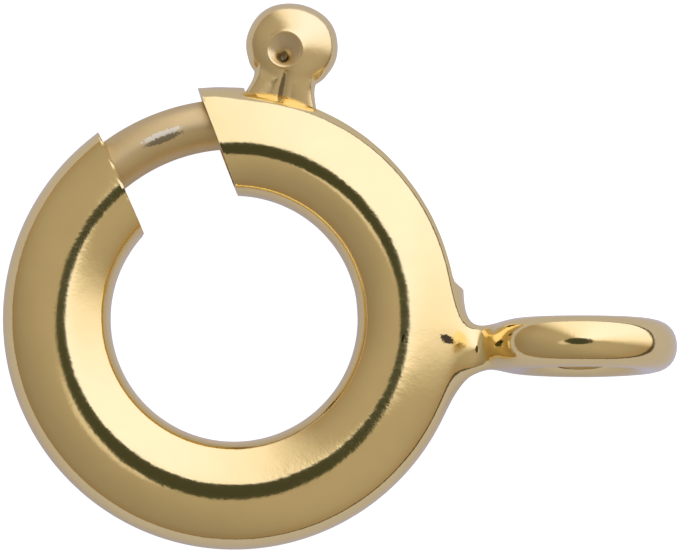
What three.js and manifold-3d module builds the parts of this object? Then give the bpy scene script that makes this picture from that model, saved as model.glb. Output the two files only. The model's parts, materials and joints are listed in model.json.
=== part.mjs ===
// Spring ring clasp, a small finding that joins the two ends of a necklace or bracelet.
// A hollow round tube is bent into a ring with one gap. A curved bolt slides inside it and
// bridges the gap, a coil spring keeps it there, and a thumb knob on the bolt draws it back.
// The chain is soldered to a small tail loop that stands square to the ring.
// Millimetres. The clasp lies on its back, so the front looks up along +Z and +X is the tail.

import * as THREE from 'three';
import { mergeVertices } from 'three/addons/utils/BufferGeometryUtils.js';
import Module from 'manifold-3d';

const wasm = await Module();
wasm.setup();

// Ring tube: the section is widest at its crown, with a long outer flank and a short inner one
const ringDiameter = 6.0;
const outerFlank = 0.80;
const innerFlank = 0.60;
const wall = 0.12;

// Gap that the chain's link passes through, a slot with parallel sides
const gapWidth = 1.385;
const gapAngle = 112.5;

// Bolt, the curved wire that closes the gap
const boltDiameter = 0.64;
const boltSideClearance = 0.04;
const boltCrownClearance = 0.14;
const boltTipOverlap = 8;
const boltTailLength = 12;

// Thumb knob: a folded neck with a flattened ball on its end and a stem into the bolt
const knobAngle = 78;
const knobDiameter = 1.19;
const knobThickness = 0.66;
const knobReach = 0.57;
const neckWidth = 0.94;
const neckThickness = 0.40;
const neckClearance = 0.03;
const stemDiameter = 0.26;
const stemDepth = 0.40;
const stemClearance = 0.03;

// Slot in the outer wall that the neck travels along, and how far it travels
const travel = 56;
const slotClearance = 0.05;
const slotEndClearance = 2.2;
const slotFlare = 0.06;

// Web inside the tube that the far end of the spring bears on
const webTipClearance = 12;
const webAngle = 10;

// Return spring
const springWire = 0.12;
const springClearance = 0.06;
const springEndClearance = 1.2;
const springTurns = 22;

// Tail loop, its soldered neck and the mound of solder on the tube
const tailDiameter = 2.45;
const tailWire = 0.65;
const tailReach = 0.275;
const tailOffset = -0.36;
const solderFlatness = 0.80;

// Facets
const ringFacets = 72;
const flankFacets = 10;
const wireFacets = 16;

const degrees = Math.PI / 180;
const ringRadius = ringDiameter / 2;
const crownRadius = ringRadius - outerFlank;
const cavityHalfHeight = boltDiameter / 2 + boltCrownClearance;
const tubeHalfHeight = cavityHalfHeight + wall;
const cavityOuterRadius = ringRadius - wall;
const cavityInnerRadius = crownRadius - innerFlank + wall;
const boltRadius = cavityOuterRadius - boltSideClearance - boltDiameter / 2;
const gapHalfAngle = Math.asin(gapWidth / 2 / boltRadius) / degrees;
const neckHalfAngle = Math.asin(neckWidth / 2 / ringRadius) / degrees;
const boltTipAngle = gapAngle + gapHalfAngle + boltTipOverlap;
const boltTailAngle = knobAngle - neckHalfAngle - boltTailLength;
const slotStartAngle = knobAngle + neckHalfAngle + slotEndClearance;
const slotEndAngle = knobAngle - travel - neckHalfAngle - slotEndClearance;
const webStartAngle = boltTipAngle + webTipClearance;
const webEndAngle = webStartAngle + webAngle;
const springRadius = (cavityOuterRadius + cavityInnerRadius) / 2;
const springSpace = Math.min(cavityHalfHeight, (cavityOuterRadius - cavityInnerRadius) / 2);
const springCoilRadius = springSpace - springClearance - springWire / 2;
const springStartAngle = boltTailAngle - springEndClearance;
const springFinishAngle = webEndAngle + springEndClearance - 360;
const knobRadius = knobDiameter / 2;
const knobCentre = ringRadius + knobReach;
const boltSurface = boltRadius + boltDiameter / 2;
const tailLoopRadius = (tailDiameter - tailWire) / 2;
const tailCentre = ringRadius + tailReach + tailDiameter / 2;

// Boolean solids from closed geometries, and back again

function solid(geometry) {
  geometry.deleteAttribute('normal');
  geometry.deleteAttribute('uv');
  const merged = mergeVertices(geometry, 1e-6);
  return new wasm.Manifold(new wasm.Mesh({
    numProp: 3,
    vertProperties: merged.attributes.position.array,
    triVerts: new Uint32Array(merged.index.array),
  }));
}

function geometryOf(body) {
  const mesh = body.getMesh();
  const geometry = new THREE.BufferGeometry();
  geometry.setAttribute('position', new THREE.BufferAttribute(mesh.vertProperties, 3));
  geometry.setIndex(new THREE.BufferAttribute(mesh.triVerts, 1));
  geometry.computeVertexNormals();
  return geometry;
}

// Torus with the tube's section: two half ellipses that meet at the crown
function ringOfSection(outer, inner, halfHeight) {
  const profile = [];
  for (let i = 0; i < 2 * flankFacets; i += 1) {
    const turn = -Math.PI / 2 + Math.PI * i / flankFacets;
    const flank = i < flankFacets ? outer : inner;
    const across = Math.abs(Math.cos(turn)) < 1e-9 ? 0 : Math.cos(turn);
    profile.push(new THREE.Vector2(crownRadius + flank * across, halfHeight * Math.sin(turn)));
  }
  profile.push(profile[0].clone());
  return new THREE.LatheGeometry(profile, ringFacets).rotateX(Math.PI / 2);
}

// Flat piece of a disc between two radii and two angles, level with the middle of the tube
function sector(innerRadius, outerRadius, startAngle, endAngle, halfHeight) {
  const shape = new THREE.Shape();
  shape.absarc(0, 0, outerRadius, startAngle * degrees, endAngle * degrees, false);
  shape.absarc(0, 0, innerRadius, endAngle * degrees, startAngle * degrees, true);
  const geometry = new THREE.ExtrudeGeometry(shape, {
    depth: 2 * halfHeight,
    bevelEnabled: false,
    curveSegments: 24,
  });
  return geometry.translate(0, 0, -halfHeight);
}

function box(width, depth, height) {
  return new THREE.BoxGeometry(width, depth, height);
}

// Ring tube with its cavity, gap, slot and soldered tail

const tubeOutside = solid(ringOfSection(outerFlank, innerFlank, tubeHalfHeight));
const cavityRing = solid(ringOfSection(outerFlank - wall, innerFlank - wall, cavityHalfHeight));
const web = solid(sector(crownRadius - innerFlank - wall, ringRadius + wall,
  webStartAngle, webEndAngle, tubeHalfHeight + wall));
const cavity = cavityRing.subtract(web);

const gapCut = solid(box(2 * ringRadius, gapWidth, 4 * tubeHalfHeight)
  .translate(ringRadius + crownRadius / 4, 0, 0)
  .rotateZ(gapAngle * degrees));

const slotHalfWidth = neckThickness / 2 + slotClearance;
const slotSector = sector(boltRadius, ringRadius + wall, slotEndAngle, slotStartAngle, 1);
const slotPoints = slotSector.attributes.position;
for (let i = 0; i < slotPoints.count; i += 1) {
  const angle = Math.atan2(slotPoints.getY(i), slotPoints.getX(i)) / degrees;
  const along = (slotStartAngle - angle) / (slotStartAngle - slotEndAngle);
  slotPoints.setZ(i, slotPoints.getZ(i) * (slotHalfWidth + slotFlare * Math.min(1, 2 * along)));
}
const slotCut = solid(slotSector);

const tailLoop = solid(new THREE.TorusGeometry(tailLoopRadius, tailWire / 2, wireFacets - 2, 40)
  .rotateX(Math.PI / 2)
  .translate(tailCentre, tailOffset, 0));

// The solder's section along the tail's axis. Places inside the tube are shares of the outer
// flank, places outside it are shares of the reach, and radii are shares of the tail's wire.
const solderInside = [[0.80, 0], [0.68, 0.42], [0.56, 0.85], [0.45, 1.0], [0.33, 1.0],
  [0.22, 0.93], [0.12, 0.82], [0.02, 0.66]];
const solderOutside = [[0.36, 0.53], [0.90, 0.50], [2.0, 0.50], [2.0, 0]];
const solderProfile = [];
for (const [place, radius] of solderInside) {
  solderProfile.push(new THREE.Vector2(radius * tailWire, ringRadius - place * outerFlank));
}
for (const [place, radius] of solderOutside) {
  solderProfile.push(new THREE.Vector2(radius * tailWire, ringRadius + place * tailReach));
}
const solder = solid(new THREE.LatheGeometry(solderProfile, 24)
  .rotateZ(-Math.PI / 2)
  .scale(1, 1, solderFlatness)
  .translate(0, tailOffset, 0));

const ringBody = tubeOutside.add(tailLoop).add(solder)
  .subtract(cavity).subtract(gapCut).subtract(slotCut);

// Bolt: a straight rod with a domed tip, bent round the ring's axis, with a hole for the stem

const boltArc = (boltTipAngle - boltTailAngle) * degrees;
const boltLength = boltArc * boltRadius;
const boltHalf = boltDiameter / 2;
const domeLength = boltHalf * 0.7;
const boltProfile = [new THREE.Vector2(0, 0), new THREE.Vector2(boltHalf * 0.9, 0)];
const boltSteps = 22;
for (let i = 0; i <= boltSteps; i += 1) {
  const start = boltHalf * 0.1;
  const length = boltLength - start - domeLength;
  boltProfile.push(new THREE.Vector2(boltHalf, start + length * i / boltSteps));
}
for (let i = 1; i <= 4; i += 1) {
  const turn = i * Math.PI / 8;
  const radius = i === 4 ? 0 : boltHalf * Math.cos(turn);
  boltProfile.push(new THREE.Vector2(radius, boltLength - domeLength * (1 - Math.sin(turn))));
}
const boltRod = new THREE.LatheGeometry(boltProfile, wireFacets);
const boltPoints = boltRod.attributes.position;
for (let i = 0; i < boltPoints.count; i += 1) {
  const angle = boltTailAngle * degrees + boltPoints.getY(i) / boltRadius;
  const radius = boltRadius + boltPoints.getX(i);
  const height = boltPoints.getZ(i);
  boltPoints.setXYZ(i, radius * Math.cos(angle), radius * Math.sin(angle), height);
}

// A piece modelled along +X is turned to the knob's place on the ring
function atKnob(geometry) {
  return geometry.rotateZ(knobAngle * degrees);
}

function radialPin(diameter, from, to) {
  return new THREE.CylinderGeometry(diameter / 2, diameter / 2, to - from, 12)
    .rotateZ(-Math.PI / 2)
    .translate((from + to) / 2, 0, 0);
}

const stemTop = boltSurface + neckClearance + stemDiameter / 2;
const stemEnd = boltSurface - stemDepth;
const stemHole = solid(atKnob(
  radialPin(stemDiameter + 2 * stemClearance, stemEnd - stemClearance, stemTop)));
const bolt = solid(boltRod).subtract(stemHole);

// Thumb knob. The neck's half widths are shares of its full half width, from the bolt outwards,
// and its places are shares of the way from the bolt to the ball's centre.

const neckBase = boltSurface + neckClearance;
const neckRun = knobCentre - neckBase;
const neckSide = [[0, 1.03], [0.18, 1.0], [0.36, 0.92], [0.52, 0.86], [0.85, 0.84]];
const neckShape = new THREE.Shape();
neckSide.forEach(([place, share], i) => {
  const x = neckBase + place * neckRun;
  const y = -share * neckWidth / 2;
  if (i === 0) {
    neckShape.moveTo(x, y);
  } else {
    neckShape.lineTo(x, y);
  }
});
for (const [place, share] of [...neckSide].reverse()) {
  neckShape.lineTo(neckBase + place * neckRun, share * neckWidth / 2);
}
const neck = solid(atKnob(new THREE.ExtrudeGeometry(neckShape, {
  depth: neckThickness,
  bevelEnabled: false,
}).translate(0, 0, -neckThickness / 2)));
const ball = solid(atKnob(new THREE.SphereGeometry(knobRadius, 24, 14)
  .rotateX(Math.PI / 2)
  .scale(1, 1, knobThickness / knobDiameter)
  .translate(knobCentre, 0, 0)));
const stem = solid(atKnob(radialPin(stemDiameter, stemEnd, stemTop)));
const knob = neck.add(ball).add(stem);

// Return spring: a coil wound round a curved centre line, from the bolt's tail to the web

class CurvedCoil extends THREE.Curve {
  getPoint(t, target = new THREE.Vector3()) {
    const along = (springStartAngle + (springFinishAngle - springStartAngle) * t) * degrees;
    const turn = 2 * Math.PI * springTurns * t;
    const radius = springRadius + springCoilRadius * Math.cos(turn);
    const height = springCoilRadius * Math.sin(turn);
    return target.set(radius * Math.cos(along), radius * Math.sin(along), height);
  }
}

const coil = new CurvedCoil();
coil.arcLengthDivisions = 4000;
const wireSection = new THREE.Shape();
wireSection.absarc(0, 0, springWire / 2, 0, 2 * Math.PI, false);
const spring = new THREE.ExtrudeGeometry(wireSection, {
  steps: 12 * springTurns,
  curveSegments: 3,
  extrudePath: coil,
});

// Scene: the clasp rests on its back, on the tube and on the tail loop, which is the taller

const gold = { color: 0xd9bb78, roughness: 0.22, metalness: 1.0 };
const steel = { color: 0xb9bcc0, roughness: 0.30, metalness: 1.0 };

const clasp = new THREE.Group();

function piece(name, geometry, look) {
  const mesh = new THREE.Mesh(geometry, new THREE.MeshStandardMaterial(look));
  mesh.name = name;
  clasp.add(mesh);
}

piece('ring_tube_and_tail_loop', geometryOf(ringBody), gold);
piece('latch_bolt', geometryOf(bolt), gold);
piece('thumb_knob', geometryOf(knob), gold);
piece('return_spring', spring, steel);

const restTilt = Math.asin((tailDiameter / 2 - tubeHalfHeight) / (tailCentre + crownRadius));
clasp.rotation.y = -restTilt;
clasp.updateMatrixWorld(true);
const bounds = new THREE.Box3().setFromObject(clasp, true);
const middle = bounds.getCenter(new THREE.Vector3());
clasp.position.set(-middle.x, -middle.y, -bounds.min.z);

export default clasp;
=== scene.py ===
# %% [markdown]
# # A spring ring clasp
# This is the little round catch at the end of a necklace or a bracelet. A hollow tube of
# yellow gold is bent into a ring with one gap, a curved bolt slides inside it and closes the
# gap, and a thumb knob draws the bolt back against a coil spring. The exact solids are
# loaded first, as a frame to build on, and each is then replaced by a smooth, polished piece.

# %% Load the frame
import json
import math

import bmesh
import bpy
from mathutils import Matrix, Vector


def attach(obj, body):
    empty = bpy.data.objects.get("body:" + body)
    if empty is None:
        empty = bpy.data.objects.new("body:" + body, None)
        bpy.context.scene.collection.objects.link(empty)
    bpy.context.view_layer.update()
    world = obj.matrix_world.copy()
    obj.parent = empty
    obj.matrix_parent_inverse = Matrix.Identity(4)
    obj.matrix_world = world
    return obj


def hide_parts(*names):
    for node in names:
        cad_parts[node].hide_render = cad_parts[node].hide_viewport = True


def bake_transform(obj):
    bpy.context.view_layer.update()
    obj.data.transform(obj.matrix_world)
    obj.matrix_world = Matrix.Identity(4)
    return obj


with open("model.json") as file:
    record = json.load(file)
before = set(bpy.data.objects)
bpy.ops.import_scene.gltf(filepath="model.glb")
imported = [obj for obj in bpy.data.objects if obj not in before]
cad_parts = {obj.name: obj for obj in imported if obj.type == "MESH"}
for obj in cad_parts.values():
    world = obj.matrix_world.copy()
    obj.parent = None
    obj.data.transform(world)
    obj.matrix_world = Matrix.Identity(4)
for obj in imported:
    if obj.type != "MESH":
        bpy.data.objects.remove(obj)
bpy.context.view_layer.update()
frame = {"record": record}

# %% [markdown]
# ## Where the ring's axis is
# The clasp lies on its back. The tail loop is taller than the tube, so the ring leans by a
# few degrees. Everything is easier to model round an upright axis and in millimetres, so
# each piece is made that way and laid in its place at the end by one helper. It reads the
# axis from the bolt's joint, so a piece can't drift from its solid.

# %% The ring's own frame
slide = frame["record"]["behaviour"]["joints"][0]
ring_centre = Vector(slide["pos_m"])
ring_front = -Vector(slide["axis"]).normalized()
ring_side = Vector((0, 1, 0)).cross(ring_front).normalized()
ring_up = ring_front.cross(ring_side)
to_row = Matrix.Translation(ring_centre) @ Matrix(
    (ring_side, ring_up, ring_front)).transposed().to_4x4() @ Matrix.Scale(0.001, 4)


def clear():
    """Leave nothing selected, in object mode."""
    if bpy.context.object and bpy.context.object.mode != "OBJECT":
        bpy.ops.object.mode_set(mode="OBJECT")
    bpy.ops.object.select_all(action="DESELECT")


def lay_down(piece):
    """Take a piece from millimetres round the ring's axis to its place in metres."""
    clear()
    piece.matrix_world = to_row
    piece.select_set(True)
    bpy.context.view_layer.objects.active = piece
    bpy.ops.object.transform_apply(location=True, rotation=True, scale=True)


print("ring centre", tuple(ring_centre), "front", tuple(ring_front))

# %% [markdown]
# ## Small helpers for working by place
# In a script nobody clicks on a face, so faces and edges are picked by where they are. The
# turn helper goes anticlockwise, as seen from the front of the clasp.

# %% Pick and turn
def edit():
    """Go into edit mode."""
    bpy.ops.object.mode_set(mode="EDIT")


def pick(test, kind="VERT"):
    """Select what passes the test at its middle, in edit mode, and say how many did."""
    mesh = bpy.context.object.data
    bpy.context.tool_settings.mesh_select_mode = (kind == "VERT", kind == "EDGE", kind == "FACE")
    form = bmesh.from_edit_mesh(mesh)
    for part in (*form.faces, *form.edges, *form.verts):
        part.select = False
    parts = {"VERT": form.verts, "EDGE": form.edges, "FACE": form.faces}[kind]
    count = 0
    for part in parts:
        if kind == "VERT":
            place = part.co
        else:
            place = sum((v.co for v in part.verts), Vector()) / len(part.verts)
        if test(place):
            part.select_set(True)
            count += 1
    form.select_flush_mode()
    bmesh.update_edit_mesh(mesh)
    return count


def turn(angle):
    """Turn the selection anticlockwise round the ring's axis, in degrees."""
    bpy.ops.transform.rotate(value=-math.radians(angle), orient_axis="Z",
                             center_override=(0, 0, 0))


def resize(x, y, z):
    """Scale the selection about the ring's centre."""
    bpy.ops.transform.resize(value=(x, y, z), center_override=(0, 0, 0))


def polar(place):
    """Radius from the axis, and angle in degrees, of a point."""
    return math.hypot(place.x, place.y), math.degrees(math.atan2(place.y, place.x))


def apply(piece, kind, **values):
    """Add a modifier with these values and apply it."""
    clear()
    piece.select_set(True)
    bpy.context.view_layer.objects.active = piece
    modifier = piece.modifiers.new(kind.lower(), kind)
    for name, value in values.items():
        setattr(modifier, name, value)
    bpy.ops.object.modifier_apply(modifier=modifier.name)


def smooth(piece, levels):
    """Subdivide to the smooth limit surface and shade it smooth."""
    apply(piece, "SUBSURF", levels=levels, render_levels=levels)
    bpy.ops.object.shade_smooth()
    print(piece.name, len(piece.data.polygons), "faces")


# %% [markdown]
# ## The ring's tube
# The section is two half ellipses that meet at the crown, a long one outside and a short one
# inside. Pressed tube is a little squarer than that at its edges, so a few points are moved
# out. A subdivided cage shrinks a little, so the section starts about 2.6 percent larger.

# %% Section of the tube
GAP_ANGLE, GAP_WIDTH = 112.5, 1.385
BOLT_RADIUS, BOLT_WIRE = 2.53, 0.328
CROWN_RADIUS, OUTER_FLANK, INNER_FLANK, HALF_HEIGHT = 2.215, 0.785, 0.615, 0.58
WALL = 0.12
GROW = 1 / 0.9746
EDGE_SQUARER, CORNER_SQUARER = (1, 1, 1.36), (1.02, 1, 1.03)

clear()
bpy.ops.mesh.primitive_circle_add(vertices=16, radius=1, rotation=(math.pi / 2, 0, 0))
ring = bpy.context.object
ring.name = "ring_body"
bpy.ops.object.transform_apply(location=False, rotation=True, scale=False)
edit()
pick(lambda p: p.x > 0.01)
resize(OUTER_FLANK * GROW, 1, 1)
pick(lambda p: p.x < -0.01)
resize(INNER_FLANK * GROW, 1, 1)
pick(lambda p: True)
resize(1, 1, HALF_HEIGHT * GROW)
edges = pick(lambda p: (p.x > 0.7 or p.x < -0.5) and 0.1 < abs(p.z) < 0.4)
resize(*EDGE_SQUARER)
corners = pick(lambda p: 0.38 < abs(p.z) < 0.5)
resize(*CORNER_SQUARER)
pick(lambda p: True)
bpy.ops.transform.translate(value=(CROWN_RADIUS, 0, 0))
print("points moved out, by the edges", edges, "and at the corners", corners)

# %% [markdown]
# ## Spin it round
# The section is spun round the ring's axis, from a little inside the gap on one side to a
# little inside it on the other, because the gap is cut later. Fifty steps are enough for the
# subdivision to make a true circle of it.

# %% Spin round the axis
STEPS, INSIDE_GAP = 50, 11.0
first = GAP_ANGLE - INSIDE_GAP
span = 360 - 2 * INSIDE_GAP
step = span / STEPS
turn(first)
bpy.ops.mesh.spin(steps=STEPS, angle=math.radians(span), center=(0, 0, 0), axis=(0, 0, 1))
rows = [first - step * i for i in range(STEPS + 1)]
bpy.ops.object.mode_set(mode="OBJECT")
print("ring rows", len(rows), "step", round(step, 2), "points", len(ring.data.vertices))

# %% [markdown]
# ## The slot
# The thumb knob's neck travels along a slot in the outer wall. Its faces are deleted. The
# slot is wider away from the knob, so each row of lip points is set to its own half width,
# on the tube's ellipse. The rows at its two ends are turned a little, to where they end.

# %% Slot
SLOT_START, SLOT_END = 87.4, 9.4
SLOT_NARROW, SLOT_WIDE, WIDENING = 0.225, 0.305, 1.6
FIRST_ROW, LAST_ROW = 2, 14


def near(angle, target, width=0.4):
    """Whether two angles are closer than this share of the step between rows."""
    return abs((angle - target + 180) % 360 - 180) < width * step


edit()
bpy.ops.mesh.select_all(action="SELECT")
bpy.ops.mesh.normals_make_consistent(inside=False)
for row, angle in ((FIRST_ROW, SLOT_START), (LAST_ROW, SLOT_END)):
    pick(lambda p: near(polar(p)[1], rows[row]))
    turn(angle - rows[row])
    rows[row] = angle
pick(lambda p: polar(p)[0] > 2.85 and abs(p.z) < 0.22 and
     SLOT_END < polar(p)[1] < SLOT_START, "FACE")
bpy.ops.mesh.delete(type="FACE")
for row in range(FIRST_ROW, LAST_ROW + 1):
    share = (SLOT_START - rows[row]) / (SLOT_START - SLOT_END)
    half = SLOT_NARROW + (SLOT_WIDE - SLOT_NARROW) * min(1, WIDENING * share)
    radius = CROWN_RADIUS + OUTER_FLANK * math.sqrt(1 - (half / HALF_HEIGHT) ** 2)
    pick(lambda p: near(polar(p)[1], rows[row]) and polar(p)[0] > 2.8 and 0.1 < abs(p.z) < 0.35)
    lip = next(v.co for v in bmesh.from_edit_mesh(ring.data).verts if v.select)
    wider, further = half / abs(lip.z), radius / polar(lip)[0]
    resize(further, further, wider)
print("slot from", SLOT_START, "to", SLOT_END, "degrees")

# %% [markdown]
# ## The wall
# Solidify gives the skin the wall of a real drawn tube, inwards. The rims at the gap and
# along the slot are creased, so that the subdivision leaves them as sharp as cut metal. The
# tube is a little wider on its outside between the gap and the slot, and the slot's far end is
# rounded, so two sets of points are moved to make that.

# %% Wall
MOUTH, END_TURN = 0.05, -2.2
apply(ring, "SOLIDIFY", thickness=WALL, offset=-1, use_even_offset=True,
      edge_crease_outer=0.9, edge_crease_inner=0.8, edge_crease_rim=0.3)
edit()
mouth = pick(lambda p: polar(p)[0] > 2.75 and abs(p.z) < 0.28 and
             (near(polar(p)[1], rows[0]) or near(polar(p)[1], rows[1])))
wider = 1 + MOUTH / (CROWN_RADIUS + OUTER_FLANK)
resize(wider, wider, 1)
slot_end = pick(lambda p: near(polar(p)[1], SLOT_END, 0.2) and polar(p)[0] > 2.8 and
                abs(p.z) < 0.05)
turn(END_TURN)
print("mouth points", mouth, "points at the slot's end", slot_end)

# %% [markdown]
# ## The tail loop
# The tail loop is a ring of wire that stands square to the clasp, so a torus is its start.
# The wire is a little squarer than round, and the corners of its section are moved out. The
# front of the loop is a little squarer too, but its back stays round, because it lies on the
# table as the solid does. The two radii allow for what the subdivision takes off.

# %% Wire of the tail loop
TAIL_X, TAIL_Y, TAIL_RADIUS, TAIL_WIRE = 4.5, -0.36, 0.90, 0.325
LOOP_SHRINK, WIRE_SHRINK = 0.9936, 0.9024
WIRE_CORNER, NEAR_CORNER, FAR_CORNER = 0.14, 0.06, 0.03
clear()
bpy.ops.mesh.primitive_torus_add(major_segments=32, minor_segments=8,
                                 major_radius=TAIL_RADIUS / LOOP_SHRINK,
                                 minor_radius=TAIL_WIRE / WIRE_SHRINK,
                                 location=(TAIL_X, TAIL_Y, 0), rotation=(math.pi / 2, 0, 0))
tail = bpy.context.object
bpy.ops.object.transform_apply(location=True, rotation=True, scale=True)
for v in tail.data.vertices:
    spoke = Vector((v.co.x - TAIL_X, 0, v.co.z)).normalized() * TAIL_RADIUS
    off = v.co - Vector((TAIL_X, TAIL_Y, 0)) - spoke
    corner = abs(off.y) * math.hypot(off.x, off.z) / off.length_squared
    v.co += off * WIRE_CORNER * corner
    angle = math.atan2(v.co.z, v.co.x - TAIL_X)
    squarer = 0.0
    if v.co.z > 0:
        squarer = NEAR_CORNER if v.co.x < TAIL_X else FAR_CORNER
    wider = 1 + squarer * math.sin(2 * angle) ** 2
    v.co = Vector((TAIL_X + (v.co.x - TAIL_X) * wider, v.co.y, v.co.z * wider))
print("tail loop", len(tail.data.vertices), "points")

# %% [markdown]
# ## The neck
# On the real clasp solder flows into the corner between the tube and the loop, and leaves a
# soft fillet. Two pieces pushed into each other would leave a hard line there. So a few faces
# of the tube are drawn out into a short neck, and a few faces of the loop are opened to meet it.

# %% Neck
NECK_X, NECK_DROP, NECK_HALF_Y, NECK_HALF_Z = 3.13, 0.05, 0.335, 0.29


def shape_ring(x, y, half_y, half_z):
    """Make the selection flat at x, and give it this middle and these half sizes."""
    chosen = [v for v in bmesh.from_edit_mesh(bpy.context.object.data).verts if v.select]
    low = Vector([min(v.co[i] for v in chosen) for i in range(3)])
    high = Vector([max(v.co[i] for v in chosen) for i in range(3)])
    middle, size = (low + high) / 2, high - low
    bpy.ops.transform.resize(value=(0, 2 * half_y / size.y, 2 * half_z / size.z),
                             center_override=middle)
    bpy.ops.transform.translate(value=Vector((x, y, 0)) - middle)


ring.select_set(True)
bpy.context.view_layer.objects.active = ring
bpy.ops.object.join()
edit()
neck_rows = (rows[17], rows[15] + 0.2)
found = pick(lambda p: polar(p)[0] > 2.9 and p.x < 3.05 and abs(p.z) < 0.25 and
             neck_rows[0] < polar(p)[1] < neck_rows[1], "FACE")
bpy.ops.mesh.extrude_region_move()
bpy.ops.transform.tosphere(value=1.0)
shape_ring(NECK_X, TAIL_Y - NECK_DROP, NECK_HALF_Y, NECK_HALF_Z)
bpy.ops.mesh.delete(type="FACE")
left = TAIL_X - TAIL_RADIUS - TAIL_WIRE
opened = pick(lambda p: left - 0.1 < p.x < left + 0.14 and abs(p.z) < 0.20 and
              abs(p.y - TAIL_Y) < 0.22 and p.x > 3.2, "FACE")
bpy.ops.mesh.delete(type="FACE")
print("tube faces", found, "loop faces", opened)

# %% [markdown]
# ## The joint between them
# Bridging joins the neck's open rim to the loop's with new faces, so tube and loop become one
# skin, and the subdivision then makes the solder's fillet by itself.

# %% Bridge
def open_rim(test):
    """Select the open edges that pass the test."""
    form = bmesh.from_edit_mesh(bpy.context.object.data)
    for part in (*form.faces, *form.edges, *form.verts):
        part.select = False
    bpy.context.tool_settings.mesh_select_mode = (False, True, False)
    count = 0
    for edge in form.edges:
        if edge.is_boundary and test((edge.verts[0].co + edge.verts[1].co) / 2):
            edge.select_set(True)
            count += 1
    bmesh.update_edit_mesh(bpy.context.object.data)
    return count


rim = open_rim(lambda p: p.x > 3.0)
bpy.ops.mesh.bridge_edge_loops()
print("bridged", rim, "edges")

# %% [markdown]
# ## The solder
# The fillet below the neck reaches further along the tube. A soft mound of solder stands on
# the front and the back of the tube where the neck leaves it, and where the neck meets the loop
# it is a little fuller. All three are made by moving a few points of the cage before it is
# subdivided, because that leaves them as soft as flowed metal.

# %% Solder
FILLET = Vector((2.916, -0.705, 0))
FILLET_MOVE = (0.13, -0.11, 0)
MOUND = (0.325, 0.345, 0.325)
SOLDER_CORNER, SOLDER_BACK = 1.28, -0.02
pick(lambda p: (p - FILLET).length < 0.12)
bpy.ops.transform.translate(value=FILLET_MOVE)
for row, height in zip((15, 16, 17), MOUND):
    raised = pick(lambda p: near(polar(p)[1], rows[row], 0.3) and 2.9 < polar(p)[0] < 3.0 and
                  0.25 < abs(p.z) < 0.36)
    before = next(abs(v.co.z) for v in bmesh.from_edit_mesh(ring.data).verts if v.select)
    resize(1, 1, height / before)
    print("mound row", row, raised, "points from", round(before, 3), "to", height)
corner = pick(lambda p: 3.2 < p.x < 3.37 and 0.1 < abs(p.z) < 0.3 and abs(p.y - TAIL_Y) < 0.5)
resize(1, 1, SOLDER_CORNER)
bpy.ops.transform.translate(value=(SOLDER_BACK, 0, 0))
print("solder corner points", corner)
bpy.ops.mesh.select_all(action="SELECT")
bpy.ops.mesh.normals_make_consistent(inside=False)
clear()
smooth(ring, 2)

# %% [markdown]
# ## The gap
# The gap is a slot sawn through the finished tube, so its two ends are flat and parallel to
# the ring's axis. A plane cuts the smooth mesh at each end, and the cut is filled, which shows
# the wall. A second cut just behind it gives a clean row of points, so that drawing the end in
# a little leaves the narrow filed edge that catches the light. That edge is marked sharp, so
# it is shaded by itself, and the left end is filed more than the right one. The real gap
# narrows a little inwards, so each plane leans by its share. The slot's edges are sharp too,
# and a real tiny bevel there does the same.

# %% Cut the gap
GAP_LEAN, FILED, SLOT_BEVEL = 0.032, 0.032, 0.012
DRAWN_IN = {1: 0.978, -1: 0.990}
middle_way = Vector((math.cos(math.radians(GAP_ANGLE)), math.sin(math.radians(GAP_ANGLE)), 0))
across_gap = Vector((-middle_way.y, middle_way.x, 0))
edit()
bpy.ops.mesh.select_all(action="DESELECT")
bpy.ops.mesh.edges_select_sharp(sharpness=math.radians(50))
bpy.ops.mesh.bevel(offset=SLOT_BEVEL, segments=1, affect="EDGES")
for side in (1, -1):
    outwards = (middle_way * GAP_LEAN - across_gap * side).normalized()
    for behind in (0, FILED):
        cut = middle_way * BOLT_RADIUS + across_gap * side * (GAP_WIDTH / 2 + behind)
        pick(lambda p: 0 < side * ((polar(p)[1] - GAP_ANGLE + 180) % 360 - 180) < 45, "FACE")
        bpy.ops.mesh.bisect(plane_co=cut, plane_no=outwards,
                            use_fill=behind == 0, clear_outer=behind == 0)
    end = middle_way * CROWN_RADIUS + across_gap * side * GAP_WIDTH / 2
    at_end = pick(lambda p: abs((p - end).dot(outwards)) < 0.008 and (p - end).length < 1.5)
    bpy.ops.transform.resize(value=(DRAWN_IN[side],) * 3, center_override=end)
    filed = pick(lambda p: abs((p - cut).dot(outwards)) < 0.002 and (p - end).length < 1.5, "EDGE")
    bpy.ops.mesh.mark_sharp()
    print("end", side, at_end, "points,", filed, "sharp edges")
print("ring", len(ring.data.polygons), "faces")
clear()
ring.select_set(True)
bpy.ops.object.shade_smooth_by_angle(angle=math.radians(32))
lay_down(ring)
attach(ring, "ring")
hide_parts("ring_tube_and_tail_loop")

# %% [markdown]
# ## The bolt
# The bolt is a wire bent to the ring's curve, with rounded ends, and the spring pushes on its
# tail. A ten-sided circle is spun along its arc, and three rings of faces draw each end in.

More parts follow.
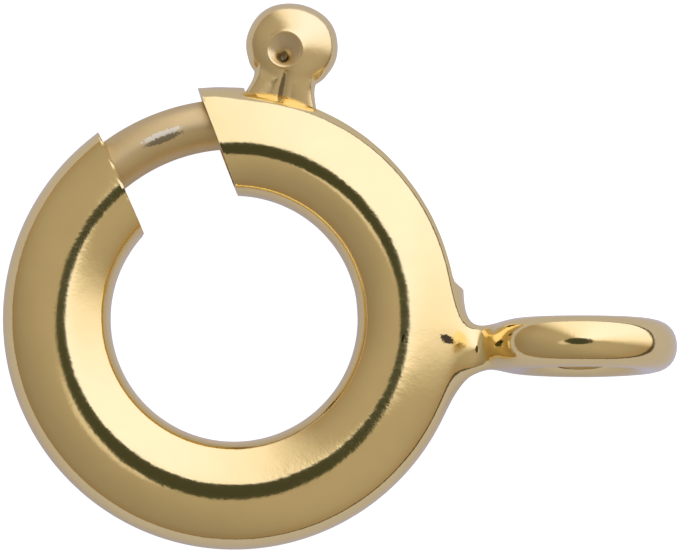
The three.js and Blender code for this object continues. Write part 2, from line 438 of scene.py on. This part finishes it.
# %% Bolt
BOLT_TIP, BOLT_TAIL, TIP_ROUND, WIRE_LOSS = 136.5, 56.9, 5, 0.9363
END_RINGS = ((0.09, 0.93), (0.08, 0.72), (0.02, 0.45))
clear()
bpy.ops.mesh.primitive_circle_add(vertices=10, radius=BOLT_WIRE / WIRE_LOSS,
                                  location=(BOLT_RADIUS, 0, 0), rotation=(math.pi / 2, 0, 0))
bolt = bpy.context.object
bolt.name = "bolt_wire"
bpy.ops.object.transform_apply(location=True, rotation=True, scale=False)
edit()
bpy.ops.mesh.select_all(action="SELECT")
bolt_span = BOLT_TIP - TIP_ROUND - BOLT_TAIL
bpy.ops.mesh.spin(steps=14, angle=math.radians(bolt_span), center=(0, 0, 0), axis=(0, 0, 1))
for end, way in ((0, 1), (-bolt_span, -1)):
    pick(lambda p: near(polar(p)[1], end))
    for forward, share in END_RINGS:
        bpy.ops.mesh.extrude_region_move()
        form = bmesh.from_edit_mesh(bolt.data)
        chosen = [v for v in form.verts if v.select]
        middle = sum((v.co for v in chosen), Vector()) / len(chosen)
        push = Vector((-middle.y, middle.x, 0)).normalized() * forward * way
        bpy.ops.transform.resize(value=(share,) * 3, center_override=middle)
        bpy.ops.transform.translate(value=push)
    bpy.ops.mesh.edge_face_add()
bpy.ops.mesh.select_all(action="SELECT")
bpy.ops.mesh.normals_make_consistent(inside=False)
turn(BOLT_TIP - TIP_ROUND)
clear()
smooth(bolt, 2)
lay_down(bolt)
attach(bolt, "bolt")
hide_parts("latch_bolt")

# %% [markdown]
# ## The thumb knob
# The knob is one piece of sheet folded over on itself. It makes a ball, a short neck that
# widens towards the ring, and a funnel on the front where the fold closes, with a shallow
# channel running down from it. A cube is divided, rounded to a ball and pressed flatter.

# %% Ball
KNOB_ANGLE, KNOB_RADIUS, KNOB_PLACE, KNOB_THICKNESS = 78.1, 0.628, 3.572, 0.66
KNOB_SHRINK, FLATTER = 0.972, 0.92
clear()
bpy.ops.mesh.primitive_cube_add(size=1)
knob = bpy.context.object
knob.name = "thumb_knob_fold"
edit()
bpy.ops.mesh.select_all(action="SELECT")
bpy.ops.mesh.subdivide(number_cuts=3)
bpy.ops.transform.tosphere(value=1.0)
form = bmesh.from_edit_mesh(knob.data)
reach = sum(v.co.length for v in form.verts) / len(form.verts)
bpy.ops.transform.resize(value=(KNOB_RADIUS / KNOB_SHRINK / reach,) * 3,
                         center_override=(0, 0, 0))
thick = KNOB_THICKNESS / 2 / KNOB_SHRINK
for v in form.verts:
    share = abs(v.co.z) * KNOB_SHRINK / KNOB_RADIUS
    v.co.z = math.copysign(thick * share ** FLATTER, v.co.z)
bmesh.update_edit_mesh(knob.data)
print("ball points", len(form.verts), "mean radius before", round(reach, 3))

# %% [markdown]
# ## The knob's neck
# The faces that look at the ring are drawn out three times, each a flat ring of its own half
# width and half thickness. The neck falls away from the ball all the way, because a ridge in it
# would mirror the dark camera, and it ends inside the slot, where nobody sees it.

# %% Neck of the knob
NECK_RINGS = ((-0.47, 0.41, 0.222), (-0.58, 0.445, 0.197), (-0.86, 0.555, 0.140))
found = pick(lambda p: p.x < -0.38, "FACE")
for x, half_y, half_z in NECK_RINGS:
    bpy.ops.mesh.extrude_region_move()
    shape_ring(x, 0, half_y, half_z)
print("neck faces", found)

# %% [markdown]
# ## Where the ball meets the neck
# The fold is tight at the two corners between ball and neck. The points there are drawn in and
# away from the ring, the next ones curl in after them, and the edges are creased. The ball is
# also a little thicker away from the ring and on one side, as folded sheet often is.

# %% Corners and lean
CORNERS_IN, CORNERS_OUT = 0.90, 0.085
CURL_IN, CURL_OUT = 0.93, 0.03
TOP_OUT, CREASE = 0.05, 0.7
LEAN_OUT, LEAN_SIDE = 0.18, 0.10


def lean_of(x, y):
    """How much thicker the ball is at a place, because it leans."""
    return 1 + (LEAN_OUT * x - LEAN_SIDE * y) / KNOB_RADIUS


pinch = pick(lambda p: -0.46 < p.x < -0.32 and abs(p.y) > 0.30)
resize(1, CORNERS_IN, 1)
bpy.ops.transform.translate(value=(CORNERS_OUT, 0, 0))
curl = pick(lambda p: -0.30 < p.x < -0.20 and abs(p.y) > 0.415)
resize(1, CURL_IN, 1)
bpy.ops.transform.translate(value=(CURL_OUT, 0, 0))
pick(lambda p: -0.459 < p.x < -0.40 and abs(p.y) < 0.30)
bpy.ops.transform.translate(value=(TOP_OUT, 0, 0))
seams = pick(lambda p: -0.38 < p.x < -0.27 and abs(p.y) > 0.32 and abs(p.z) < 0.22, "EDGE")
bpy.ops.transform.edge_crease(value=CREASE)
pick(lambda p: p.z > 0.05 and p.x > -0.40)
for v in [v for v in bmesh.from_edit_mesh(knob.data).verts if v.select]:
    v.co.z *= lean_of(v.co.x, v.co.y)
bmesh.update_edit_mesh(knob.data)
print("pinched points", pinch, "curled points", curl, "creased edges", seams)

# %% [markdown]
# ## The funnel
# Where the fold closes it leaves a round funnel with a raised rim. Faces on the front are inset
# ring by ring. Each ring is made round, and its height is set from the ball's own dome, so the
# rim stands even all the way round. The table gives each ring's radius, its shift along the
# knob and its rise over the dome.

# %% Funnel on the front
FUNNEL = Vector((-0.04, 0.075, 0))
FUNNEL_RINGS = ((0.285, 0.0, 0.0), (0.252, 0.0, 0.016), (0.222, 0.0, -0.022),
                (0.10, -0.05, -0.10), (0.045, -0.09, -0.19))


def dome(x, y):
    """Height of the ball's front over a place."""
    return thick * math.sqrt(1 - (x * x + y * y) / KNOB_RADIUS ** 2) * lean_of(x, y)


found = pick(lambda p: p.z > 0.22 and abs(p.x) < 0.25 and abs(p.y) < 0.25, "FACE")
print("funnel faces", found)
bpy.ops.mesh.inset(thickness=0.01, use_even_offset=False)
for i, (radius, shift, rise) in enumerate(FUNNEL_RINGS):
    if i > 0:
        bpy.ops.mesh.inset(thickness=0.02, use_even_offset=False)
    chosen = [v for v in bmesh.from_edit_mesh(knob.data).verts if v.select]
    rounded = [v for v in chosen if any(not f.select for f in v.link_faces)]
    middle = sum((v.co for v in rounded), Vector()) / len(rounded)
    for v in chosen:
        flat = Vector((v.co.x - middle.x, v.co.y - middle.y, 0))
        flat = flat.normalized() * radius if v in rounded else flat * 0.5
        v.co = FUNNEL + Vector((shift, 0, 0)) + flat
        v.co.z = dome(v.co.x, v.co.y) + rise
    bmesh.update_edit_mesh(knob.data)

# %% [markdown]
# ## The channel
# A shallow channel runs from the funnel down the neck, where the two edges of the sheet meet.
# The middle edges are bevelled into a strip, and the strip's middle line is pushed in.

# %% Channel down the neck
CHANNEL_WIDTH, CHANNEL_DEPTH = 0.05, 0.06
pick(lambda p: p.z > 0.12 and abs(p.y) < 0.02 and p.x < -0.28, "EDGE")
bpy.ops.mesh.bevel(offset=CHANNEL_WIDTH, segments=2, affect="EDGES")
groove = pick(lambda p: p.z > 0.10 and abs(p.y) < 0.005 and p.x < -0.28)
bpy.ops.transform.translate(value=(0, 0, -CHANNEL_DEPTH))
print("channel points", groove)
bpy.ops.mesh.select_all(action="SELECT")
bpy.ops.mesh.normals_make_consistent(inside=False)
bpy.ops.transform.translate(value=(KNOB_PLACE, 0, 0))
turn(KNOB_ANGLE)
clear()
smooth(knob, 3)
lay_down(knob)
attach(knob, "bolt")
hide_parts("thumb_knob")

# %% [markdown]
# ## The return spring
# A coil of spring wire fills the tube behind the bolt, and a few of its turns can be seen
# through the slot. It follows a curved centre line, which no primitive does, so its path is
# drawn as a curve with a round bevel and then made a mesh. One end stays with the ring and the
# other goes with the bolt.

# %% Spring
SPRING_RADIUS, SPRING_COIL, SPRING_WIRE, SPRING_TURNS = 2.30, 0.34, 0.055, 22
SPRING_FROM, SPRING_TO, POINTS_PER_TURN = 55.0, -200.0, 20
path = bpy.data.curves.new("return_spring_path", "CURVE")
path.dimensions = "3D"
path.bevel_depth = SPRING_WIRE
path.bevel_resolution = 2
path.use_fill_caps = True
line = path.splines.new("POLY")
count = SPRING_TURNS * POINTS_PER_TURN
line.points.add(count)
for i in range(count + 1):
    share = i / count
    bearing = math.radians(SPRING_FROM + (SPRING_TO - SPRING_FROM) * share)
    spin = 2 * math.pi * SPRING_TURNS * share
    radius = SPRING_RADIUS + SPRING_COIL * math.cos(spin)
    line.points[i].co = (radius * math.cos(bearing), radius * math.sin(bearing),
                         SPRING_COIL * math.sin(spin), 1)
spring = bpy.data.objects.new("return_spring_coil", path)
bpy.context.collection.objects.link(spring)
clear()
spring.select_set(True)
bpy.context.view_layer.objects.active = spring
bpy.ops.object.convert(target="MESH")
spring = bpy.context.object
bpy.ops.object.shade_smooth()
lay_down(spring)
print("spring", len(spring.data.polygons), "faces")


def in_row(x, y, z):
    """A place in millimetres round the ring's axis, in the row's frame."""
    return tuple(to_row @ Vector((x, y, z)))


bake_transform(spring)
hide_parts("return_spring")

# %% [markdown]
# ## A place on the ring, for the materials
# The fine marks on the gold lie by the ring's own shape, so the materials need to know where
# a point is round the ring. Object coordinates are turned upright, centred on the ring's axis
# and read in millimetres. From them come the angle round it, the distance from its centre and
# the height.

# %% Places on the ring
def ring_places(nodes, links):
    """A point in the ring's millimetres, and its angle, distance and height from the centre."""
    place = nodes.new("ShaderNodeTexCoord")
    centre = nodes.new("ShaderNodeMapping")
    lean = math.asin(-ring_front.x)
    upright = Matrix.Rotation(lean, 3, "Y")
    centre.inputs["Location"].default_value = tuple(upright @ ring_centre * -1000)
    centre.inputs["Rotation"].default_value = (0, lean, 0)
    centre.inputs["Scale"].default_value = (1000, 1000, 1000)
    links.new(place.outputs["Object"], centre.inputs["Vector"])
    split = nodes.new("ShaderNodeSeparateXYZ")
    links.new(centre.outputs["Vector"], split.inputs["Vector"])
    distance = nodes.new("ShaderNodeVectorMath")
    distance.operation = "LENGTH"
    links.new(centre.outputs["Vector"], distance.inputs[0])
    angle = nodes.new("ShaderNodeMath")
    angle.operation = "ARCTAN2"
    links.new(split.outputs["Y"], angle.inputs[0])
    links.new(split.outputs["X"], angle.inputs[1])
    round_ring = nodes.new("ShaderNodeCombineXYZ")
    links.new(angle.outputs[0], round_ring.inputs["X"])
    links.new(distance.outputs["Value"], round_ring.inputs["Y"])
    links.new(split.outputs["Z"], round_ring.inputs["Z"])
    return centre.outputs["Vector"], round_ring.outputs["Vector"]


# %% [markdown]
# ## Polished gold
# Pale yellow gold is a pure metal, so its colour is the colour of its reflections. What
# makes it look real is what is left on the polish: fine lines from the buffing wheel that
# run across the tube, slight changes of sheen and tint, and a surface that is not quite even.

# %% Gold
def gold(name, colour, roughness, grain, ripple):
    """Polished gold with fine marks that run across the tube, as the buffing wheel left them."""
    material = bpy.data.materials.new(name)
    material.use_nodes = True
    nodes, links = material.node_tree.nodes, material.node_tree.links
    surface = nodes["Principled BSDF"]
    surface.inputs["Metallic"].default_value = 1.0
    in_ring, round_ring = ring_places(nodes, links)
    stretch = nodes.new("ShaderNodeMapping")
    stretch.inputs["Scale"].default_value = (60.0, 18.0, 18.0)
    links.new(round_ring, stretch.inputs["Vector"])
    lines = nodes.new("ShaderNodeTexNoise")
    lines.inputs["Scale"].default_value = 1.0
    lines.inputs["Detail"].default_value = 4.0
    lines.inputs["Roughness"].default_value = 0.6
    links.new(stretch.outputs["Vector"], lines.inputs["Vector"])
    broad = nodes.new("ShaderNodeTexNoise")
    broad.inputs["Scale"].default_value = 2.2
    broad.inputs["Detail"].default_value = 3.0
    links.new(in_ring, broad.inputs["Vector"])
    sheen = nodes.new("ShaderNodeMapRange")
    sheen.inputs["To Min"].default_value = roughness * 0.8
    sheen.inputs["To Max"].default_value = roughness * 1.3
    links.new(lines.outputs["Fac"], sheen.inputs["Value"])
    links.new(sheen.outputs["Result"], surface.inputs["Roughness"])
    tint = nodes.new("ShaderNodeMix")
    tint.data_type = "RGBA"
    tint.inputs["A"].default_value = (*[c * 0.95 for c in colour], 1)
    tint.inputs["B"].default_value = (*[min(1, c * 1.04) for c in colour], 1)
    links.new(broad.outputs["Fac"], tint.inputs["Factor"])
    links.new(tint.outputs["Result"], surface.inputs["Base Color"])
    fine = nodes.new("ShaderNodeBump")
    fine.inputs["Strength"].default_value = grain
    fine.inputs["Distance"].default_value = 0.000002
    links.new(lines.outputs["Fac"], fine.inputs["Height"])
    uneven = nodes.new("ShaderNodeBump")
    uneven.inputs["Strength"].default_value = ripple
    uneven.inputs["Distance"].default_value = 0.00003
    links.new(broad.outputs["Fac"], uneven.inputs["Height"])
    links.new(fine.outputs["Normal"], uneven.inputs["Normal"])
    links.new(uneven.outputs["Normal"], surface.inputs["Normal"])
    return material, in_ring


# %% [markdown]
# ## Marks of making and wear, and painted light
# Small marks tell that the clasp is a real, used thing, and some of them are painted highlights,
# reflections and shade. Each is a mask, the distance from a place, squeezed to the mark's size and
# broken up with noise. Where the mask is 1, another colour or roughness is mixed in.

# %% Marks
def mark(material, in_ring, place, angle, half_sizes, ragged):
    """A mask that is 1 inside an oval spot and 0 outside, in the ring's millimetres."""
    nodes, links = material.node_tree.nodes, material.node_tree.links
    local = nodes.new("ShaderNodeMapping")
    local.vector_type = "TEXTURE"
    local.inputs["Location"].default_value = place
    local.inputs["Rotation"].default_value = (0, 0, math.radians(angle))
    local.inputs["Scale"].default_value = half_sizes
    links.new(in_ring, local.inputs["Vector"])
    away = nodes.new("ShaderNodeVectorMath")
    away.operation = "LENGTH"
    links.new(local.outputs["Vector"], away.inputs[0])
    break_up = nodes.new("ShaderNodeTexNoise")
    break_up.inputs["Scale"].default_value = 34
    break_up.inputs["Detail"].default_value = 3
    links.new(in_ring, break_up.inputs["Vector"])
    total = nodes.new("ShaderNodeMath")
    total.operation = "MULTIPLY_ADD"
    links.new(break_up.outputs["Fac"], total.inputs[0])
    total.inputs[1].default_value = ragged
    links.new(away.outputs["Value"], total.inputs[2])
    inside = nodes.new("ShaderNodeMapRange")
    inside.inputs["From Min"].default_value = 1.15 + ragged / 2
    inside.inputs["From Max"].default_value = 0.85 + ragged / 2
    links.new(total.outputs[0], inside.inputs["Value"])
    return inside.outputs["Result"]


def mix_in(material, name, mask, value):
    """Where the mask is 1, a number or colour replaces what the shader's socket had."""
    nodes, links = material.node_tree.nodes, material.node_tree.links
    socket = nodes["Principled BSDF"].inputs[name]
    before = socket.links[0].from_socket
    mix = nodes.new("ShaderNodeMix")
    mix.data_type = "FLOAT" if isinstance(value, float) else "RGBA"
    links.new(mask, mix.inputs[0])
    ends = [i for i in mix.inputs if i.enabled and i.name in ("A", "B")]
    links.new(before, ends[0])
    ends[1].default_value = value
    links.new([o for o in mix.outputs if o.enabled][0], socket)


def on_ring(radius, angle, height):
    """A place at this radius, angle and height round the ring's axis."""
    return (radius * math.cos(math.radians(angle)), radius * math.sin(math.radians(angle)), height)


# %% [markdown]
# ## Gold of the bolt
# The bolt is drawn wire, duller than the rest. The chain's link has worn a streak on its front,
# which is painted as a bright highlight, with a painted dark reflection of the camera below it.

# %% Bolt's gold
STREAK_ANGLE, STREAK_RAGGED = 111.7, 1.6
STREAK_PAINTED_HIGHLIGHT, STREAK_PAINTED_REFLECTION = (0.96, 0.86, 0.60, 1), (0.33, 0.27, 0.14, 1)
bolt_gold, in_ring = gold("gold_bolt_wire", (0.80, 0.61, 0.28), 0.40, 0.5, 0.2)
bolt.data.materials.append(bolt_gold)
# The streak's tones are painted: a bright highlight, and below it a dark reflection of the camera.
for radius, half_sizes, tone in ((2.535, (0.045, 0.27, 0.3), STREAK_PAINTED_HIGHLIGHT),
                                 (2.475, (0.040, 0.25, 0.3), STREAK_PAINTED_REFLECTION)):
    streak = mark(bolt_gold, in_ring, on_ring(radius, STREAK_ANGLE, BOLT_WIRE), STREAK_ANGLE,
                  half_sizes, STREAK_RAGGED)
    mix_in(bolt_gold, "Base Color", streak, tone)
print("bolt material", bolt_gold.name, len(bolt_gold.node_tree.nodes), "nodes")

# %% [markdown]
# ## Gold of the knob
# The knob is polished, but the wheel can't reach into the funnel, so its dish is duller, and its
# darker gold there is painted shade. A dark brown is painted into its hole and along the seam of
# the neck.

# %% Knob's gold
BROWN = (0.30, 0.23, 0.12, 1)
DISH_PAINTED_SHADE, DISH_ROUGHNESS = (0.84, 0.68, 0.38, 1), 0.32
knob_gold, in_ring = gold("gold_knob_polish", (0.97, 0.76, 0.36), 0.18, 0.5, 0.2)
knob.data.materials.append(knob_gold)
dish = mark(knob_gold, in_ring, on_ring(KNOB_PLACE - 0.04, KNOB_ANGLE + 1.2, 0.29), KNOB_ANGLE,
            (0.205, 0.205, 0.14), 0.3)
# The dish's darker gold is painted shade in the hollow.
mix_in(knob_gold, "Base Color", dish, DISH_PAINTED_SHADE)
mix_in(knob_gold, "Roughness", dish, DISH_ROUGHNESS)
# A dark brown is painted along the neck's seam and in the funnel's hole.
seam = mark(knob_gold, in_ring, on_ring(KNOB_PLACE - 0.58, KNOB_ANGLE + 0.3, 0.20), KNOB_ANGLE,
            (0.27, 0.030, 0.14), 0.5)
mix_in(knob_gold, "Base Color", seam, BROWN)
hole = mark(knob_gold, in_ring, on_ring(KNOB_PLACE - 0.13, KNOB_ANGLE + 1.1, 0.16), KNOB_ANGLE,
            (0.085, 0.062, 0.14), 0.3)
mix_in(knob_gold, "Base Color", hole, BROWN)
print("knob material", knob_gold.name, len(knob_gold.node_tree.nodes), "nodes")

# %% [markdown]
# ## Gold of the ring
# The ring has the brightest polish. The solder has a small dark pit, and a nick lies beside it
# on the crown.

# %% Ring's gold
DIRT, PIT_DARK = (0.16, 0.115, 0.06, 1), (0.07, 0.055, 0.03, 1)
ring_gold, in_ring = gold("gold_body_polish", (0.97, 0.755, 0.33), 0.08, 0.38, 0.12)
ring.data.materials.append(ring_gold)
pit = mark(ring_gold, in_ring, (2.75, -0.30, 0.43), -25, (0.095, 0.055, 0.14), 1.3)
mix_in(ring_gold, "Base Color", pit, PIT_DARK)
nick = mark(ring_gold, in_ring, (2.18, -0.30, HALF_HEIGHT), 75, (0.05, 0.016, 0.1), 0.6)
mix_in(ring_gold, "Base Color", nick, DIRT)
print("ring material", ring_gold.name, len(ring_gold.node_tree.nodes), "nodes")

# %% [markdown]
# ## Spring steel
# The spring is drawn wire, bright but not polished, so it is a plain grey metal. A very fine
# noise varies its sheen, as drawing and winding leave it.

# %% Steel
steel = bpy.data.materials.new("spring_steel_wire")
steel.use_nodes = True
nodes, links = steel.node_tree.nodes, steel.node_tree.links
surface = nodes["Principled BSDF"]
surface.inputs["Metallic"].default_value = 1.0
surface.inputs["Base Color"].default_value = (0.42, 0.41, 0.39, 1)
place = nodes.new("ShaderNodeTexCoord")
scratch = nodes.new("ShaderNodeTexNoise")
scratch.inputs["Scale"].default_value = 9000
scratch.inputs["Detail"].default_value = 4
links.new(place.outputs["Object"], scratch.inputs["Vector"])
sheen = nodes.new("ShaderNodeMapRange")
sheen.inputs["To Min"].default_value = 0.25
sheen.inputs["To Max"].default_value = 0.45
links.new(scratch.outputs["Fac"], sheen.inputs["Value"])
links.new(sheen.outputs["Result"], surface.inputs["Roughness"])
spring.data.materials.append(steel)

# %% [markdown]
# ## The table
# Polished metal is lit by its surroundings more than by lamps. The table glows a little by
# itself, so the tube's edges pick it up without a lamp, which would show as a spot in the
# polish. To the camera it is plain white, and in the gold's reflections it is duller and cooler.

# %% Table
REFLECTED_GLOW, SEEN_GLOW = 0.37, 0.95
REFLECTED_TINT, SEEN_TINT = (0.66, 0.68, 1, 1), (1, 1, 1, 1)
clear()
bpy.ops.mesh.primitive_plane_add(size=0.6, location=(0, 0, -0.00002))
table = bpy.context.object
table.name = "table"
white = bpy.data.materials.new("white_table")
white.use_nodes = True
nodes, links = white.node_tree.nodes, white.node_tree.links
surface = nodes["Principled BSDF"]
surface.inputs["Roughness"].default_value = 0.9
surface.inputs["Base Color"].default_value = (0.4, 0.4, 0.4, 1)
shine = nodes.new("ShaderNodeLightPath")
glow = nodes.new("ShaderNodeMapRange")
glow.inputs["To Min"].default_value = REFLECTED_GLOW
glow.inputs["To Max"].default_value = SEEN_GLOW
links.new(shine.outputs["Is Camera Ray"], glow.inputs["Value"])
links.new(glow.outputs["Result"], surface.inputs["Emission Strength"])
cool = nodes.new("ShaderNodeMix")
cool.data_type = "RGBA"
cool.inputs["A"].default_value = REFLECTED_TINT
cool.inputs["B"].default_value = SEEN_TINT
links.new(shine.outputs["Is Camera Ray"], cool.inputs["Factor"])
links.new(cool.outputs["Result"], surface.inputs["Emission Color"])
table.data.materials.append(white)

# %% [markdown]
# ## Helpers for the room
# The room could be built of walls and lamps. It is drawn in the world's shader instead, by the
# direction of each look, because only its reflections are seen. These helpers measure a
# direction and blend from one tone to another.

# %% Directions in the room
world = bpy.data.worlds.new("studio")
bpy.context.scene.world = world
world.use_nodes = True
nodes, links = world.node_tree.nodes, world.node_tree.links
background = nodes["Background"]
look = nodes.new("ShaderNodeTexCoord")


def math_node(operation, first, second=None, third=None):
    """A maths node with numbers or sockets as its inputs."""
    node = nodes.new("ShaderNodeMath")
    node.operation = operation
    for i, value in enumerate((first, second, third)):
        if value is None:
            continue
        if isinstance(value, (int, float)):
            node.inputs[i].default_value = value
        else:
            links.new(value, node.inputs[i])
    return node.outputs[0]


def along(direction):
    """How far a look goes along a direction."""
    dot = nodes.new("ShaderNodeVectorMath")
    dot.operation = "DOT_PRODUCT"
    links.new(look.outputs["Generated"], dot.inputs[0])
    dot.inputs[1].default_value = tuple(direction)
    return dot.outputs["Value"]


def blend_between(value, low, high):
    """A soft step from 0 at low to 1 at high."""
    ramp = nodes.new("ShaderNodeMapRange")
    ramp.interpolation_type = "SMOOTHSTEP"
    ramp.inputs["From Min"].default_value = low
    ramp.inputs["From Max"].default_value = high
    links.new(value, ramp.inputs["Value"])
    return ramp.outputs["Result"]


def facing(direction, wide, narrow):
    """From 0 to 1 as the look comes from wide degrees to narrow degrees off a direction."""
    return blend_between(along(direction), math.cos(math.radians(wide)),
                         math.cos(math.radians(narrow)))


def round_front(angle):
    """The direction square to the ring's front, at this angle round it."""
    return Matrix.Rotation(math.radians(angle), 3, ring_front) @ ring_side


def off_front(angle, lean):
    """The direction that leans from the ring's front by so much, towards an angle round it."""
    return (ring_front * math.cos(math.radians(lean)) +
            round_front(angle) * math.sin(math.radians(lean)))


def mix_colours(factor, first, second):
    """Mix two colours, each three numbers or a socket."""
    node = nodes.new("ShaderNodeMix")
    node.data_type = "RGBA"
    links.new(factor, node.inputs["Factor"])
    for name, colour in (("A", first), ("B", second)):
        if isinstance(colour, tuple):
            node.inputs[name].default_value = (*colour, 1)
        else:
            links.new(colour, node.inputs[name])
    return node.outputs["Result"]


def scaled(colour, factor):
    """A colour times a number, both sockets."""
    node = nodes.new("ShaderNodeVectorMath")
    node.operation = "SCALE"
    links.new(colour, node.inputs[0])
    links.new(factor, node.inputs["Scale"])
    return node.outputs["Vector"]


# %% [markdown]
# ## The walls and the panel
# A broad soft panel stands at the upper right, so the flanks of the tube that face it are
# bright. The walls are a middle grey, darker low down and dimmer at the lower left. A small
# soft light stands beside the camera, on that side.

# %% Walls and panel
PANEL_TURN, PANEL_WIDE, PANEL_NARROW = 53.5, 73, 45
DIM_TURN, DIM_SHARE = 225, 0.24
HALO_TURN, HALO_LEAN, HALO_WIDE, HALO_NARROW, HALO_SHARE = 212, 14, 9, 5, 0.5
height = along(ring_front)
azimuth = math_node("ABSOLUTE", math_node("ARCTAN2", along(round_front(PANEL_TURN + 90)),
                                          along(round_front(PANEL_TURN))))
panel = math_node("MULTIPLY",
                  blend_between(azimuth, math.radians(PANEL_WIDE), math.radians(PANEL_NARROW)),
                  blend_between(height, -0.02, 0.02))
halo = facing(off_front(HALO_TURN, HALO_LEAN), HALO_WIDE, HALO_NARROW)
panel = math_node("MAXIMUM", panel, math_node("MULTIPLY", halo, HALO_SHARE))
skirting = math_node("MULTIPLY_ADD", blend_between(height, 0.035, 0.06), 0.75, 0.25)
walls = math_node("MULTIPLY", skirting,
                  math_node("MULTIPLY_ADD", blend_between(height, 0.0, 0.9), 0.09, 0.305))
dim_side = blend_between(along(round_front(DIM_TURN)), 0.1, 0.8)
walls = math_node("MULTIPLY", walls, math_node("MULTIPLY_ADD", dim_side, -DIM_SHARE, 1.04))
print("panel from", PANEL_TURN - PANEL_WIDE, "to", PANEL_TURN + PANEL_WIDE, "degrees")

# %% [markdown]
# ## The colours of the room
# The walls are warmer low down, and the panel is cool in its middle, as daylight is. Right
# above the clasp is the dark front of the camera, a little off the middle, which draws the dark
# line along the crown of the tube. What the camera itself sees behind the clasp is white.

# %% Colours of the room
WARM_LOW, WARM_HIGH = (1.18, 0.94, 0.78), (1.10, 1.0, 0.96)
PANEL_EDGE, PANEL_MIDDLE = (1.05, 1.0, 1.10), (1.15, 1.22, 1.75)
LENS_TURN, LENS_LEAN, LENS_WIDE, LENS_NARROW = -118, 4.0, 12.0, 11.2
LENS_DARK = (0.058, 0.064, 0.046)
wall_colour = mix_colours(blend_between(height, 0.05, 0.55), WARM_LOW, WARM_HIGH)
panel_colour = mix_colours(blend_between(azimuth, math.radians(66), math.radians(12)),
                           PANEL_EDGE, PANEL_MIDDLE)
colours = mix_colours(panel, scaled(wall_colour, walls), panel_colour)
lens = facing(off_front(LENS_TURN, LENS_LEAN), LENS_WIDE, LENS_NARROW)
shaded = mix_colours(lens, colours, LENS_DARK)
rays = nodes.new("ShaderNodeLightPath")
backdrop = mix_colours(rays.outputs["Is Camera Ray"], shaded, (1, 1, 1))
links.new(backdrop, background.inputs["Color"])
bpy.context.scene.view_settings.view_transform = "Standard"
print("room", len(nodes), "nodes")

# %% [markdown]
# ## The camera
# The photo looks at the clasp's front, a few degrees off the ring's axis, and from far enough
# away that hardly anything is foreshortened. A camera there with a long lens does the same, and
# the lens follows from how wide a strip the photo shows.

# %% Camera
CAMERA_LEAN, DISTANCE, VIEW_CENTRE = -4.8, 0.16, (1.369, 0.547, 0)
PHOTO_WIDTH, PIXELS_PER_MM = 680, 77.27
frame_width = PHOTO_WIDTH / PIXELS_PER_MM / 1000
view = (ring_front * math.cos(math.radians(CAMERA_LEAN)) +
        ring_up * math.sin(math.radians(CAMERA_LEAN))).normalized()
camera_data = bpy.data.cameras.new("camera")
camera_data.sensor_width = 36
camera_data.lens = 36 * DISTANCE / frame_width
camera_data.clip_start = 0.001
camera_data.clip_end = 10
camera = bpy.data.objects.new("camera", camera_data)
bpy.context.collection.objects.link(camera)
target = Vector(in_row(*VIEW_CENTRE))
up = view.cross(ring_side).normalized()
right = up.cross(view).normalized()
turned = Matrix((right, up, view)).transposed().to_4x4()
camera.matrix_world = Matrix.Translation(target + view * DISTANCE) @ turned
bpy.context.scene.camera = camera
print("camera at", tuple(round(c, 4) for c in camera.location), "lens", round(camera_data.lens))

# %% [markdown]
# ## The end
# The view layer is updated at the end.

# %% The end
bpy.context.view_layer.update()
